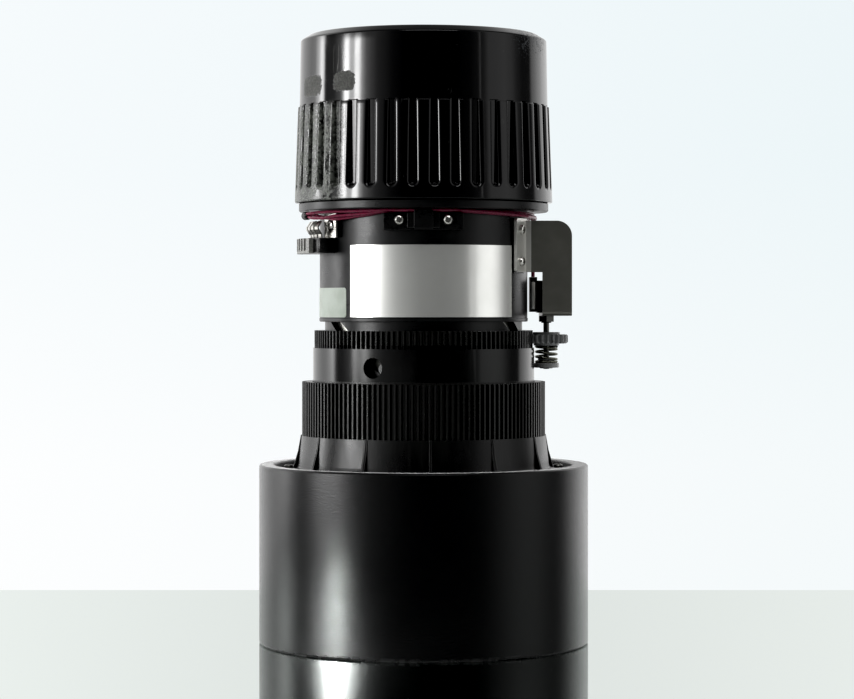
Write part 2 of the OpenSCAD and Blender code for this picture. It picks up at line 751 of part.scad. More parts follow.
wire_c = [[-70.5, 41.6, 145.35], [-66, 40.6, 145.55], [-60, 39.5, 145.75],
    [-50, 38.85, 145.8], [-40, 38.7, 145.8], [-30, 38.72, 145.8],
    [-20, 38.58, 145.8],
    [-10, 38.58, 145.8], [0, 38.56, 145.8], [10, 38.54, 145.8],
    [20, 38.5, 145.78], [40, 38.4, 145.2],
    [60, 38.3, 144.7], [75, 38.3, 144.5], [87, 38.2, 144.3],
    [94, 38, 143.4], [96.8, 37.9, 141], [97.4, 37.95, 137],
    [97.5, 37.97, 131], [97.5, 37.97, 127], [97.5, 37.97, 124.4]];

function route_xyz(w) = [for (q = w) [q[1] * sin(q[0]), -q[1] * cos(q[0]),
    q[2]]];
function radial(p) = [for (q = p) unit([q[0], q[1], 0.02])];

module wire(w) {
    p = smooth(route_xyz(w), 3);
    tube(p, radial(p), 0.52, 8);
}

module wire_harness() {
    color([0.62, 0.1, 0.2]) {
        wire(wire_a);
        wire(wire_b);
        wire(wire_c);
    }
}

module wire_sleeve() {
    color([0.05, 0.05, 0.05]) rotate([0, 0, -161]) translate([41, -0.95, 144.8])
        rotate([90, 0, 0]) rotate_extrude($fn = 40) polygon([[0, -1.1],
            [1, -1.1], [1.4, -0.6], [1.4, 2.6], [1, 3.2], [0, 3.2]]);
}

// ---- zoom sensor ----------------------------------------------------

// Bent sheet: fixing flange on the barrel, front plate and base.
module sensor_bracket() {
    y0 = -13.6;
    color([0.27, 0.27, 0.25]) difference() {
        union() {
            rotate([0, 0, bracket_ang]) translate([35.9, -3.9, 125.8]) {
                translate([0, 0, 1]) cube([1, 8.1, 16]);
                translate([0, 1, 0]) cube([1, 7.1, 18]);
                for (z = [1, 17]) translate([0, 1, z]) rotate([0, 90, 0])
                    cylinder(r = 1, h = 1, $fn = 32);
            }
            translate([34.2, y0, 125.8]) cube([10.8, 1, 17.3]);
            translate([40, y0, 112.6]) cube([5, 1, 14]);
            translate([45, y0, 112.6]) cube([4.9, 1, 25.4]);
            translate([44.8, y0 + 1, 138]) rotate([90, 0, 0])
                cylinder(r = 5.1, h = 1, $fn = 64);
            // bend and base
            translate([40, y0 + 1.5, 112.6]) rotate([0, 90, 0])
                cylinder(r = 1.5, h = 9.9, $fn = 48);
            translate([40, y0 + 1.5, 111.1]) cube([9.9, 28.6, 1]);
        }
        translate([39, y0 + 1.5, 112.6]) rotate([0, 90, 0])
            cylinder(r = 0.5, h = 12, $fn = 32);
        translate([39, y0 + 1, 112.1]) cube([12, 24, 13]);
        for (z = [129.3, 140]) rotate([0, 0, bracket_ang])
            translate([35, -0.4, z]) rotate([0, 90, 0])
                cylinder(r = 1.1, h = 4, $fn = 24);
        translate([px, py, 108]) cylinder(r = 1.77, h = 6, $fn = 40);
    }
}

module bracket_screws() {
    color([0.8, 0.8, 0.78]) for (z = [129.3, 140])
        rotate([0, 0, bracket_ang]) translate([36.9, -0.4, z])
            rotate([0, 90, 0]) screw(1, 2.9, 1.6, 1.15);
}

module sensor_body() {
    color([0.06, 0.06, 0.065]) difference() {
        union() {
            translate([38.95, 3.4, 112.1]) cube([8.6, 13, 11]);
            translate([px, py, 108.6]) cylinder(r = 1.75, h = 4, $fn = 40);
        }
        translate([px, py, 105]) cylinder(r = 1.05, h = 14.2, $fn = 40);
    }
}

module sensor_terminals() {
    color([0.35, 0.36, 0.36]) {
        difference() {
            translate([36.4, 3.4, 112.4]) cube([2.5, 9.5, 11.9]);
            translate([36.9, 3, 113.2]) cube([1.4, 1, 9.6]);
            translate([0, 0, 100]) cylinder(r = barrel_r + 0.4, h = 40);
        }
    }
}

module sensor_nut() {
    color([0.2, 0.2, 0.19]) translate([px, py, 109]) difference() {
        rotate([0, 0, 30]) cylinder(r = 5 / sqrt(3), h = 2.05, $fn = 6);
        translate([0, 0, -1]) cylinder(r = 1.77, h = 5, $fn = 40);
    }
}

module sensor_shaft() {
    color([0.3, 0.3, 0.29]) translate([px, py, 92.7])
        cylinder(r = 1, h = 26, $fn = 40);
}

module sensor_pinion() {
    color([0.3, 0.3, 0.31]) translate([px, py, 0]) difference() {
        union() {
            translate([0, 0, 104.6]) cylinder(r = 4.7, h = 0.8, $fn = 60);
            intersection() {
                translate([0, 0, 101.5]) linear_extrude(3.1) pinion_2d();
                rotate_extrude($fn = 80) polygon([[0, 101.4], [6.6, 101.4],
                    [7.8, 102.2], [7.8, 104], [6.9, 104.7], [0, 104.7]]);
            }
            translate([0, 0, 100.8]) cylinder(r = 4.4, h = 0.75, $fn = 60);
        }
        translate([0, 0, 90]) cylinder(r = 1.01, h = 20, $fn = 40);
    }
}

module clutch_spring() {
    n = spring_coils * 16;
    r = 3.65;
    z0 = 95.22;
    z1 = 100.38;
    // the last half coil at each end lies flat
    p = [for (i = [0:n]) let (t = i / n, a = -t * spring_coils * 360,
            f = (t - 0.125) / 0.75, g = min(max(f, 0), 1))
        [px + r * cos(a), py + r * sin(a), z0 + (z1 - z0) * g]];
    ref = [for (q = p) unit([q[0] - px, q[1] - py, 0.01])];
    color([0.35, 0.34, 0.31]) tube(p, ref, 0.38, 8);
}

module spring_collar() {
    color([0.3, 0.3, 0.31]) translate([px, py, 0]) difference() {
        rotate_extrude($fn = 60) polygon([[0, 92.9], [2.1, 92.9],
            [2.4, 93.2], [4.2, 93.2], [4.4, 93.4], [4.4, 94.5],
            [4.2, 94.8], [2.9, 94.8], [2.9, 96.6], [0, 96.6]]);
        translate([0, 0, 90]) cylinder(r = 1.01, h = 10, $fn = 40);
    }
}

hood();
hood_baffle();
hood_screws();
focus_ring();
focus_retainer();
front_cell();
front_bell();
front_element_1();
front_element_2();
front_element_3();
front_lock_rings();
helicoid_base();
helicoid_screws();
key_pins();
guide_barrel();
cam_barrel();
zoom_ring();
zoom_ring_screws();
variator_cell();
variator_rollers();
variator_lens_a();
variator_lens_b();
variator_lock_ring();
compensator_cell();
compensator_rollers();
compensator_lens();
compensator_lock_ring();
main_barrel();
mount_flange();
bayonet_ring();
flange_screws();
rear_barrel();
rear_element_1();
rear_element_2();
rear_element_3();
rear_spacers();
rear_lock_ring();
rear_cap();
nameplate();
serial_label();
lock_block();
lock_block_screws();
contact_bracket();
contact_plate();
contact_plate_screw();
contact_springs();
connector_block();
contact_comb();
wire_harness();
wire_sleeve();
sensor_bracket();
bracket_screws();
sensor_body();
sensor_terminals();
sensor_nut();
sensor_shaft();
sensor_pinion();
clutch_spring();
spring_collar();
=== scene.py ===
import json
import math
import random

import bmesh
import bpy
from mathutils import Matrix, Vector


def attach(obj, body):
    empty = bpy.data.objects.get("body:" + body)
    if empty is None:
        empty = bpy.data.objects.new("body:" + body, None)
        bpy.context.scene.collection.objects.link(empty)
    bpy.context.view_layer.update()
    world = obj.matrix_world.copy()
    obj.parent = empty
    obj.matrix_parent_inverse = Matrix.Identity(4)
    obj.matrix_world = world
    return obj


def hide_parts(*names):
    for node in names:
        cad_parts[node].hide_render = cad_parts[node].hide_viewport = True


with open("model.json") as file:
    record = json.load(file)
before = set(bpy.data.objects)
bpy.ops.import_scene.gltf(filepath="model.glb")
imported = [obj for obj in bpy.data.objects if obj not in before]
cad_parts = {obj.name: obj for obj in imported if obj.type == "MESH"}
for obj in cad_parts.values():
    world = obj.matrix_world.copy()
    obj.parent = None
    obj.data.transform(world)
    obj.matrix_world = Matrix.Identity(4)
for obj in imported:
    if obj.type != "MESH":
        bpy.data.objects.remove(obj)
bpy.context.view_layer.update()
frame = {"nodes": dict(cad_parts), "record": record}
nodes = frame["nodes"]
random.seed(11)

MM = 0.001


# ---------------------------------------------------------------- materials

class Mat:
    """A procedural material. Its textures read Object coordinates, in metres in the row frame."""

    def __init__(self, name, base, rough, metal=0.0, **sockets):
        self.m = bpy.data.materials.new(name)
        self.m.use_nodes = True
        self.nt = self.m.node_tree
        self.nt.nodes.clear()
        out = self.nt.nodes.new("ShaderNodeOutputMaterial")
        self.b = self.nt.nodes.new("ShaderNodeBsdfPrincipled")
        self.nt.links.new(self.b.outputs["BSDF"], out.inputs["Surface"])
        self.b.inputs["Base Color"].default_value = (*base, 1)
        self.b.inputs["Roughness"].default_value = rough
        self.b.inputs["Metallic"].default_value = metal
        for key, value in sockets.items():
            self.b.inputs[key.replace("_", " ")].default_value = value
        self.tc = self.nt.nodes.new("ShaderNodeTexCoord")
        self.co = self.tc.outputs["Object"]
        self.last_bump = None
        self._xyz = None

    def put(self, x, socket):
        if isinstance(x, (int, float)):
            socket.default_value = x
        elif isinstance(x, tuple):
            socket.default_value = (*x, 1) if len(x) == 3 and len(socket.default_value) == 4 else x
        else:
            self.nt.links.new(x, socket)

    def math(self, op, a, b=0.0, c=0.0, clamp=False):
        n = self.nt.nodes.new("ShaderNodeMath")
        n.operation = op
        n.use_clamp = clamp
        self.put(a, n.inputs[0])
        self.put(b, n.inputs[1])
        self.put(c, n.inputs[2])
        return n.outputs[0]

    def add(self, a, b):
        return self.math("ADD", a, b)

    def mul(self, a, b):
        return self.math("MULTIPLY", a, b)

    def mapped(self, scale=(1, 1, 1), loc=(0, 0, 0), rot=(0, 0, 0), vec=None):
        n = self.nt.nodes.new("ShaderNodeMapping")
        self.put(vec or self.co, n.inputs["Vector"])
        n.inputs["Scale"].default_value = scale
        n.inputs["Location"].default_value = loc
        n.inputs["Rotation"].default_value = rot
        return n.outputs[0]

    def noise(self, scale, detail=2.0, rough=0.5, distortion=0.0, vec=None):
        n = self.nt.nodes.new("ShaderNodeTexNoise")
        self.put(vec or self.co, n.inputs["Vector"])
        n.inputs["Scale"].default_value = scale
        n.inputs["Detail"].default_value = detail
        n.inputs["Roughness"].default_value = rough
        n.inputs["Distortion"].default_value = distortion
        return n.outputs[0]

    def cells(self, scale, feature="F1", out="Distance", vec=None, random=1.0):
        n = self.nt.nodes.new("ShaderNodeTexVoronoi")
        n.feature = feature
        self.put(vec or self.co, n.inputs["Vector"])
        n.inputs["Scale"].default_value = scale
        n.inputs["Randomness"].default_value = random
        return n.outputs[out]

    def step(self, x, a, b, lo=0.0, hi=1.0):
        """x below a gives lo, above b gives hi, smooth between."""
        n = self.nt.nodes.new("ShaderNodeMapRange")
        n.interpolation_type = "SMOOTHSTEP"
        self.put(x, n.inputs["Value"])
        n.inputs["From Min"].default_value = a
        n.inputs["From Max"].default_value = b
        n.inputs["To Min"].default_value = lo
        n.inputs["To Max"].default_value = hi
        return n.outputs[0]

    def mix(self, fac, a, b):
        n = self.nt.nodes.new("ShaderNodeMix")
        n.data_type = "RGBA"
        self.put(fac, n.inputs["Factor"])
        self.put(a, n.inputs["A"] if n.inputs["A"].type == "RGBA" else n.inputs[6])
        self.put(b, n.inputs[7])
        return n.outputs[2]

    def ramp(self, fac, stops):
        n = self.nt.nodes.new("ShaderNodeValToRGB")
        e = n.color_ramp.elements
        e[0].position, e[0].color = stops[0][0], (*stops[0][1], 1)
        e[1].position, e[1].color = stops[-1][0], (*stops[-1][1], 1)
        for p, c in stops[1:-1]:
            x = e.new(p)
            x.color = (*c, 1)
        self.put(fac, n.inputs["Fac"])
        return n.outputs["Color"]

    def xyz(self):
        if self._xyz is None:
            n = self.nt.nodes.new("ShaderNodeSeparateXYZ")
            self.nt.links.new(self.co, n.inputs[0])
            self._xyz = n.outputs
        return self._xyz

    def angle(self):
        """Angle about the optical axis in degrees: 0 at the front (-Y), +90 at +X."""
        o = self.xyz()
        return self.mul(self.math("ARCTAN2", o[0], self.mul(o[1], -1.0)), 57.29578)

    def bump(self, height, strength, distance):
        n = self.nt.nodes.new("ShaderNodeBump")
        n.inputs["Strength"].default_value = strength
        n.inputs["Distance"].default_value = distance
        self.put(height, n.inputs["Height"])
        if self.last_bump is not None:
            self.nt.links.new(self.last_bump, n.inputs["Normal"])
        self.last_bump = n.outputs[0]
        self.nt.links.new(self.last_bump, self.b.inputs["Normal"])

    def color(self, x):
        self.put(x, self.b.inputs["Base Color"])

    def rough(self, x):
        self.put(x, self.b.inputs["Roughness"])

    def turned(self, fine=9000.0, strength=0.25, distance=0.00001):
        """Turning marks: rings round the optical axis."""
        rings = self.noise(fine, 3.0, 0.6, vec=self.mapped(scale=(0.004, 0.004, 1.0)))
        self.bump(rings, strength, distance)
        return rings

    def patch(self, angle, half_angle, z, half_z, ragged=0.35, scale=900.0):
        """A ragged-edged patch on a surface round the optical axis: 1 inside, 0 outside. Angles in degrees, z in metres."""
        da = self.math("DIVIDE", self.math("SUBTRACT", self.angle(), angle), half_angle)
        dz = self.math("DIVIDE", self.math("SUBTRACT", self.xyz()[2], z), half_z)
        d = self.math("SQRT", self.add(self.math("POWER", self.math("ABSOLUTE", da), 4.0), self.math("POWER", self.math("ABSOLUTE", dz), 4.0)))
        d = self.add(d, self.mul(self.math("SUBTRACT", self.noise(scale, 4.0, 0.65), 0.5), ragged * 4))
        return self.step(d, 0.75, 1.05, 1.0, 0.0)


def speck_mask(m, scale, size, keep, vec=None):
    """Small specks: one in some of the cells of a Voronoi texture. keep is the share of cells that have one."""
    d = m.cells(scale, vec=vec)
    near = m.step(d, size * 0.6, size, 1.0, 0.0)
    pick = m.cells(scale, out="Color", vec=vec)
    chosen = m.step(pick, 1 - keep, 1 - keep + 0.02)
    return m.mul(near, chosen)


def scratch_mask(m, scale, rot, width=0.035, keep=0.5):
    """Thin straight scratches along one direction: valleys of a stretched noise."""
    v = m.mapped(scale=(1, 1, 0.06), rot=rot)
    n = m.noise(scale, 1.0, 0.4, vec=v)
    line = m.step(m.math("ABSOLUTE", m.math("SUBTRACT", n, 0.5)), width * 0.12, width * 0.5, 1.0, 0.0)
    where = m.step(m.noise(scale * 0.25, 2.0), 1 - keep, 1 - keep + 0.08)
    return m.mul(line, where)


def make_materials():
    made = {}

    # hood: matt black with a spark-eroded grain
    m = Mat("hood_plastic", (0.004, 0.004, 0.0042), 0.26, Sheen_Weight=0.6, Sheen_Roughness=0.3, Specular_IOR_Level=0.37)
    grain = m.noise(3400, 3.0, 0.62)
    broad = m.noise(60, 3.0)
    m.bump(m.noise(1700, 3.0, 0.65), 0.60, 0.00010)
    m.bump(m.noise(700, 2.0), 0.10, 0.00006)
    base = m.mix(m.step(grain, 0.35, 0.75), (0.0025, 0.0025, 0.0028), (0.006, 0.006, 0.0064))
    z = m.xyz()[2]
    dust = speck_mask(m, 620, 0.13, 0.05)
    base = m.mix(m.mul(dust, 0.5), base, (0.16, 0.16, 0.155))
    rub = m.mul(m.step(z, 0.0003, 0.0016, 1.0, 0.0), m.step(m.noise(420, 3.0, 0.7), 0.42, 0.62))
    base = m.mix(m.mul(rub, 0.55), base, (0.06, 0.06, 0.06))
    m.color(base)
    m.rough(m.add(m.mul(m.math("SUBTRACT", broad, 0.5), 0.08), m.add(m.mul(grain, 0.08), m.add(m.mul(rub, -0.06), 0.195))))
    made["hood_plastic"] = m

    # focus and zoom rings: semi-gloss black moulding, handled
    m = Mat("moulded_black", (0.004, 0.004, 0.004), 0.22)
    smear = m.noise(95, 4.0, 0.62, 0.6, vec=m.mapped(scale=(1, 1, 0.45)))
    fine = m.noise(2600, 2.0, 0.5)
    dust = speck_mask(m, 760, 0.12, 0.05)
    scr = m.add(scratch_mask(m, 260, (0.5, 0.2, 0.0)), scratch_mask(m, 340, (-0.7, 0.4, 0.3)))
    base = m.mix(m.step(smear, 0.45, 0.75), (0.0025, 0.0025, 0.0027), (0.0055, 0.0058, 0.0052))
    base = m.mix(m.mul(dust, 0.45), base, (0.2, 0.2, 0.19))
    base = m.mix(m.mul(scr, 0.05), base, (0.1, 0.1, 0.095))
    m.color(base)
    z = m.xyz()[2]
    collar = m.mul(m.math("GREATER_THAN", z, 0.0893), m.math("LESS_THAN", z, 0.1014))
    # above z 70.5 mm, outside the collar, the teeth are painted lighter: a painted sheen standing in for highlights on
    # the tooth lands
    painted_teeth_sheen = m.mul(m.math("SUBTRACT", 1.0, collar), m.math("GREATER_THAN", z, 0.0705))
    base = m.mix(m.mul(painted_teeth_sheen, m.step(fine, 0.3, 0.7, 0.4, 1.0)), base, (0.022, 0.022, 0.021))
    m.color(base)
    m.rough(m.add(m.add(m.step(smear, 0.35, 0.7, 0.09, 0.17), m.mul(fine, 0.04)), m.mul(m.math("SUBTRACT", 1.0, collar), 0.15)))
    m.bump(fine, 0.10, 0.00003)
    m.bump(m.noise(180, 2.0), 0.05, 0.00008)
    m.bump(scr, -0.03, 0.00002)
    made["moulded_black"] = m

    # main barrel, flange, rear barrel: satin black anodised
    m = Mat("black_anodised", (0.006, 0.0062, 0.0068), 0.30, 0.0)
    rings = m.turned(7000, 0.16, 0.000012)
    cloud = m.noise(120, 3.0, 0.6)
    dust = speck_mask(m, 680, 0.11, 0.05)
    base = m.mix(m.step(cloud, 0.4, 0.7), (0.0045, 0.0047, 0.0052), (0.0075, 0.0078, 0.0082))
    base = m.mix(m.mul(dust, 0.35), base, (0.15, 0.15, 0.15))
    m.color(base)
    m.rough(m.add(m.mul(rings, 0.10), m.step(cloud, 0.3, 0.7, 0.22, 0.30)))
    m.bump(m.noise(5200, 2.0), 0.14, 0.00002)
    made["black_anodised"] = m

    # inner cells: matt black, turned
    m = Mat("cell_black", (0.012, 0.012, 0.013), 0.5)
    rings = m.turned(5200, 0.5, 0.00003)
    m.color(m.mix(rings, (0.007, 0.007, 0.008), (0.02, 0.02, 0.021)))
    m.rough(m.add(m.mul(rings, 0.2), 0.4))
    made["cell_black"] = m

    # cam barrel, guide barrel, bayonet: satin turned aluminium
    m = Mat("barrel_metal", (0.42, 0.415, 0.39), 0.34, 1.0)
    rings = m.turned(8200, 0.30, 0.00002)
    cloud = m.noise(140, 3.0, 0.6)
    m.color(m.mix(m.step(cloud, 0.35, 0.75), (0.46, 0.455, 0.43), (0.33, 0.325, 0.30)))
    m.rough(m.add(m.mul(rings, 0.18), 0.24))
    made["barrel_metal"] = m

    m = Mat("helicoid_brass", (0.60, 0.44, 0.20), 0.3, 1.0)
    rings = m.turned(3600, 0.4, 0.00003)
    m.color(m.mix(rings, (0.62, 0.46, 0.22), (0.46, 0.33, 0.14)))
    m.rough(m.add(m.mul(rings, 0.2), 0.2))
    made["helicoid_brass"] = m

    # lenses: clear glass with a coating's tint
    m = Mat("optical_glass", (0.93, 0.975, 0.965), 0.02, 0.0,
            Transmission_Weight=1.0, IOR=1.6, Coat_Weight=0.6, Coat_Tint=(0.72, 0.62, 1.0, 1.0), Coat_Roughness=0.03)
    haze = m.noise(70, 4.0, 0.6)
    dust = speck_mask(m, 420, 0.09, 0.08)
    m.rough(m.add(m.step(haze, 0.4, 0.8, 0.012, 0.05), m.mul(dust, 0.25)))
    m.color(m.mix(m.mul(dust, 0.5), (0.93, 0.975, 0.965), (0.8, 0.8, 0.78)))
    made["optical_glass"] = m

    # screws: nickel-plated, a little dirt in the recess
    m = Mat("screw_steel", (0.66, 0.65, 0.62), 0.24, 1.0)
    n1 = m.noise(2600, 4.0, 0.6)
    m.color(m.mix(m.step(n1, 0.42, 0.72), (0.72, 0.71, 0.685), (0.36, 0.35, 0.32)))
    m.rough(m.add(m.mul(n1, 0.24), 0.12))
    m.bump(m.noise(6000, 2.0), 0.2, 0.00001)
    made["screw_steel"] = m

    m = Mat("pin_steel", (0.58, 0.58, 0.58), 0.22, 1.0)
    n1 = m.noise(5000, 3.0, 0.6)
    m.color(m.mix(n1, (0.30, 0.30, 0.30), (0.17, 0.17, 0.17)))
    m.rough(m.add(m.mul(n1, 0.18), 0.12))
    made["pin_steel"] = m

    # rear cap: glossy black with scuffs, glue residue and scratches
    m = Mat("cap_plastic", (0.003, 0.003, 0.0033), 0.07)
    z = m.xyz()[2]
    a = m.angle()
    fine = m.noise(5200, 4.0, 0.7)
    coarse = m.noise(900, 4.0, 0.65)
    smudge = m.noise(110, 4.0, 0.6, 0.5)
    left_ribs = m.mul(m.step(a, -92.0, -84.0), m.step(a, -50.0, -33.0, 1.0, 0.0))
    left_ribs = m.mul(left_ribs, m.step(z, 0.1835, 0.179, 0.0, 1.0))
    worn = m.mul(m.mul(left_ribs, m.step(coarse, 0.34, 0.60)), m.step(m.noise(190, 4.0, 0.7), 0.36, 0.56, 0.15, 1.0))
    flecks = m.mul(m.step(m.noise(1500, 5.0, 0.75), 0.57, 0.65), m.step(m.noise(260, 2.0), 0.42, 0.56))
    flecks = m.mul(flecks, left_ribs)
    res1 = m.patch(-63.0, 9.6, 0.1879, 0.0036, 0.34, 950)
    res2 = m.patch(-38.7, 6.4, 0.1885, 0.0033, 0.32, 1100)
    res = m.math("MAXIMUM", res1, res2)
    res = m.mul(res, m.step(m.noise(1900, 5.0, 0.75), 0.28, 0.50, 0.25, 1.0))
    top_edge = m.mul(m.step(z, 0.1925, 0.2035), m.mul(m.step(a, 40.0, 52.0), m.step(a, 70.0, 82.0, 1.0, 0.0)))
    top_edge = m.mul(m.step(m.add(m.noise(900, 6.0, 0.78, 1.2), m.mul(top_edge, 0.12)), 0.62, 0.70), m.math("GREATER_THAN", top_edge, 0.02))
    px, py, _ = m.xyz()
    top_edge = m.mul(top_edge, m.step(m.math("SQRT", m.add(m.mul(px, px), m.mul(py, py))), 0.0365, 0.0385))
    scr_zone = m.mul(m.mul(m.step(a, -46.0, -43.0), m.step(a, -38.0, -35.0, 1.0, 0.0)), m.mul(m.step(z, 0.1905, 0.193), m.step(z, 0.199, 0.2015, 1.0, 0.0)))
    scr = m.mul(scratch_mask(m, 520, (0.0, 0.35, 0.0), 0.06, 0.62), scr_zone)
    hair = m.mul(m.add(scratch_mask(m, 900, (0.3, 0.9, 0.1), 0.02, 0.34), scratch_mask(m, 760, (-0.6, 0.2, 0.4), 0.02, 0.34)), 0.22)
    dust = speck_mask(m, 640, 0.10, 0.06)
    base = m.mix(m.mul(worn, 0.85), (0.003, 0.003, 0.0034), (0.185, 0.196, 0.175))
    base = m.mix(flecks, base, (0.42, 0.43, 0.40))
    base = m.mix(m.mul(res, 0.92), base, m.mix(m.step(m.noise(1500, 4.0, 0.7), 0.4, 0.65), (0.022, 0.022, 0.018), (0.085, 0.088, 0.075)))
    base = m.mix(m.mul(top_edge, 0.6), base, (0.09, 0.10, 0.11))
    base = m.mix(m.mul(m.math("MINIMUM", m.add(scr, hair), 1.0), 0.6), base, (0.20, 0.20, 0.19))
    base = m.mix(m.mul(dust, 0.6), base, (0.20, 0.20, 0.19))
    m.color(base)
    marks = m.math("MAXIMUM", m.math("MAXIMUM", worn, res), m.math("MAXIMUM", top_edge, flecks))
    m.rough(m.add(m.mul(marks, 0.45), m.add(m.step(smudge, 0.35, 0.75, 0.035, 0.11), m.mul(fine, 0.02))))
    m.bump(m.mul(m.math("MAXIMUM", worn, res), fine), 0.5, 0.00008)
    m.bump(m.noise(160, 2.0), 0.06, 0.00012)
    m.bump(m.add(scr, hair), -0.25, 0.00003)
    made["cap_plastic"] = m

    # nameplate: satin silver foil, bare
    m = Mat("plate_silver", (0.92, 0.92, 0.90), 0.18, 0.70)
    fine = m.noise(5200, 3.0, 0.6, vec=m.mapped(scale=(1, 1, 0.25)))
    cloud = m.noise(70, 3.0, 0.6)
    speck = speck_mask(m, 700, 0.08, 0.03)
    base = m.mix(m.step(cloud, 0.35, 0.75), (0.955, 0.955, 0.93), (0.915, 0.915, 0.89))
    base = m.mix(m.mul(speck, 0.7), base, (0.25, 0.24, 0.22))
    m.color(base)
    m.rough(m.add(m.mul(fine, 0.10), m.step(cloud, 0.3, 0.7, 0.12, 0.16)))
    m.bump(fine, 0.10, 0.00001)
    made["plate_silver"] = m

    m = Mat("label_green", (0.30, 0.33, 0.30), 0.5, 0.0, Specular_IOR_Level=0.25)
    paper = m.noise(3200, 3.0, 0.6)
    cloud = m.noise(150, 3.0, 0.6)
    m.color(m.mix(m.step(cloud, 0.35, 0.75), (0.495, 0.535, 0.49), (0.43, 0.47, 0.42)))
    m.rough(m.add(m.mul(paper, 0.2), 0.42))
    m.bump(paper, 0.15, 0.00002)
    made["label_green"] = m

    # lock block, contact block, sensor body: satin black moulding
    m = Mat("block_black", (0.005, 0.005, 0.0055), 0.26)
    grain = m.noise(4200, 3.0, 0.6)
    cloud = m.noise(260, 3.0, 0.6)
    dust = speck_mask(m, 900, 0.12, 0.06)
    base = m.mix(cloud, (0.003, 0.003, 0.0034), (0.007, 0.007, 0.0074))
    m.color(m.mix(m.mul(dust, 0.4), base, (0.18, 0.18, 0.17)))
    m.rough(m.add(m.mul(grain, 0.16), m.step(cloud, 0.3, 0.7, 0.16, 0.28)))
    m.bump(grain, 0.2, 0.00002)
    made["block_black"] = m

    m = Mat("contact_metal", (0.74, 0.73, 0.69), 0.2, 1.0)
    n1 = m.noise(1800, 4.0, 0.65)
    m.color(m.mix(m.step(n1, 0.4, 0.75), (0.62, 0.61, 0.58), (0.34, 0.33, 0.30)))
    m.rough(m.add(m.mul(n1, 0.26), 0.10))
    m.bump(m.noise(5200, 2.0), 0.15, 0.00001)
    made["contact_metal"] = m

    m = Mat("comb_grey", (0.46, 0.46, 0.445), 0.42)
    n1 = m.noise(2200, 4.0, 0.6)
    m.color(m.mix(m.step(n1, 0.35, 0.7), (0.34, 0.34, 0.325), (0.20, 0.20, 0.19)))
    m.rough(m.add(m.mul(n1, 0.2), 0.30))
    m.bump(n1, 0.2, 0.00003)
    made["comb_grey"] = m

    m = Mat("wire_red", (0.28, 0.012, 0.055), 0.26)
    n1 = m.noise(700, 3.0, 0.6)
    m.color(m.mix(m.step(n1, 0.3, 0.75), (0.28, 0.045, 0.095), (0.17, 0.022, 0.055)))
    m.rough(m.add(m.mul(n1, 0.2), 0.18))
    m.bump(m.noise(4200, 2.0), 0.15, 0.00002)
    made["wire_red"] = m

    m = Mat("sleeve_black", (0.012, 0.012, 0.012), 0.42)
    n1 = m.noise(1500, 3.0, 0.6)
    m.color(m.mix(n1, (0.008, 0.008, 0.008), (0.02, 0.02, 0.02)))
    m.rough(m.add(m.mul(n1, 0.25), 0.3))
    m.bump(n1, 0.5, 0.0001)
    made["sleeve_black"] = m

    # bracket: dark olive-grey coated sheet
    m = Mat("bracket_olive", (0.16, 0.158, 0.14), 0.34, 0.6)
    grain = m.noise(4200, 3.0, 0.6)
    cloud = m.noise(120, 3.0, 0.6)
    nick = speck_mask(m, 700, 0.12, 0.05)
    base = m.mix(m.step(cloud, 0.35, 0.75), (0.205, 0.204, 0.184), (0.240, 0.238, 0.216))
    # the fixing tab is painted lighter: a painted highlight standing in for the light the tab catches
    o = m.xyz()
    painted_lit_tab = m.mul(m.math("LESS_THAN", o[0], 0.0362), m.math("GREATER_THAN", o[2], 0.1255))
    base = m.mix(m.mul(painted_lit_tab, 0.9), base, (0.78, 0.77, 0.74))
    m.color(m.mix(m.mul(nick, 0.5), base, (0.3, 0.3, 0.27)))
    m.rough(m.add(m.mul(grain, 0.14), 0.26))
    m.bump(grain, 0.22, 0.00002)
    made["bracket_olive"] = m

    m = Mat("sensor_grey", (0.05, 0.052, 0.05), 0.45)
    n1 = m.noise(2600, 3.0, 0.6)
    m.color(m.mix(n1, (0.008, 0.008, 0.008), (0.018, 0.018, 0.018)))
    m.rough(m.add(m.mul(n1, 0.2), 0.34))
    m.bump(n1, 0.2, 0.00003)
    made["sensor_grey"] = m

    m = Mat("shaft_steel", (0.16, 0.16, 0.15), 0.3, 1.0)
    n1 = m.noise(3600, 3.0, 0.6)
    m.color(m.mix(n1, (0.20, 0.20, 0.19), (0.10, 0.10, 0.095)))
    m.rough(m.add(m.mul(n1, 0.25), 0.2))
    made["shaft_steel"] = m

    m = Mat("pinion_grey", (0.075, 0.076, 0.08), 0.34)
    n1 = m.noise(2800, 3.0, 0.6)
    m.color(m.mix(n1, (0.33, 0.332, 0.336), (0.50, 0.502, 0.506)))
    m.rough(m.add(m.mul(n1, 0.2), 0.24))
    m.bump(n1, 0.15, 0.00002)
    made["pinion_grey"] = m

    m = Mat("spring_steel", (0.18, 0.18, 0.155), 0.3, 1.0)
    n1 = m.noise(3000, 3.0, 0.6)
    m.color(m.mix(n1, (0.24, 0.24, 0.20), (0.12, 0.12, 0.10)))
    m.rough(m.add(m.mul(n1, 0.25), 0.2))
    made["spring_steel"] = m
    return made


mats = make_materials()
slot_of = {p["node"]: p["material_slot"] for p in frame["record"]["subparts"]}
for name, o in nodes.items():
    o.data.materials.clear()
    o.data.materials.append(mats[slot_of[name]].m)


# ---------------------------------------------------------------- rebuilt pieces

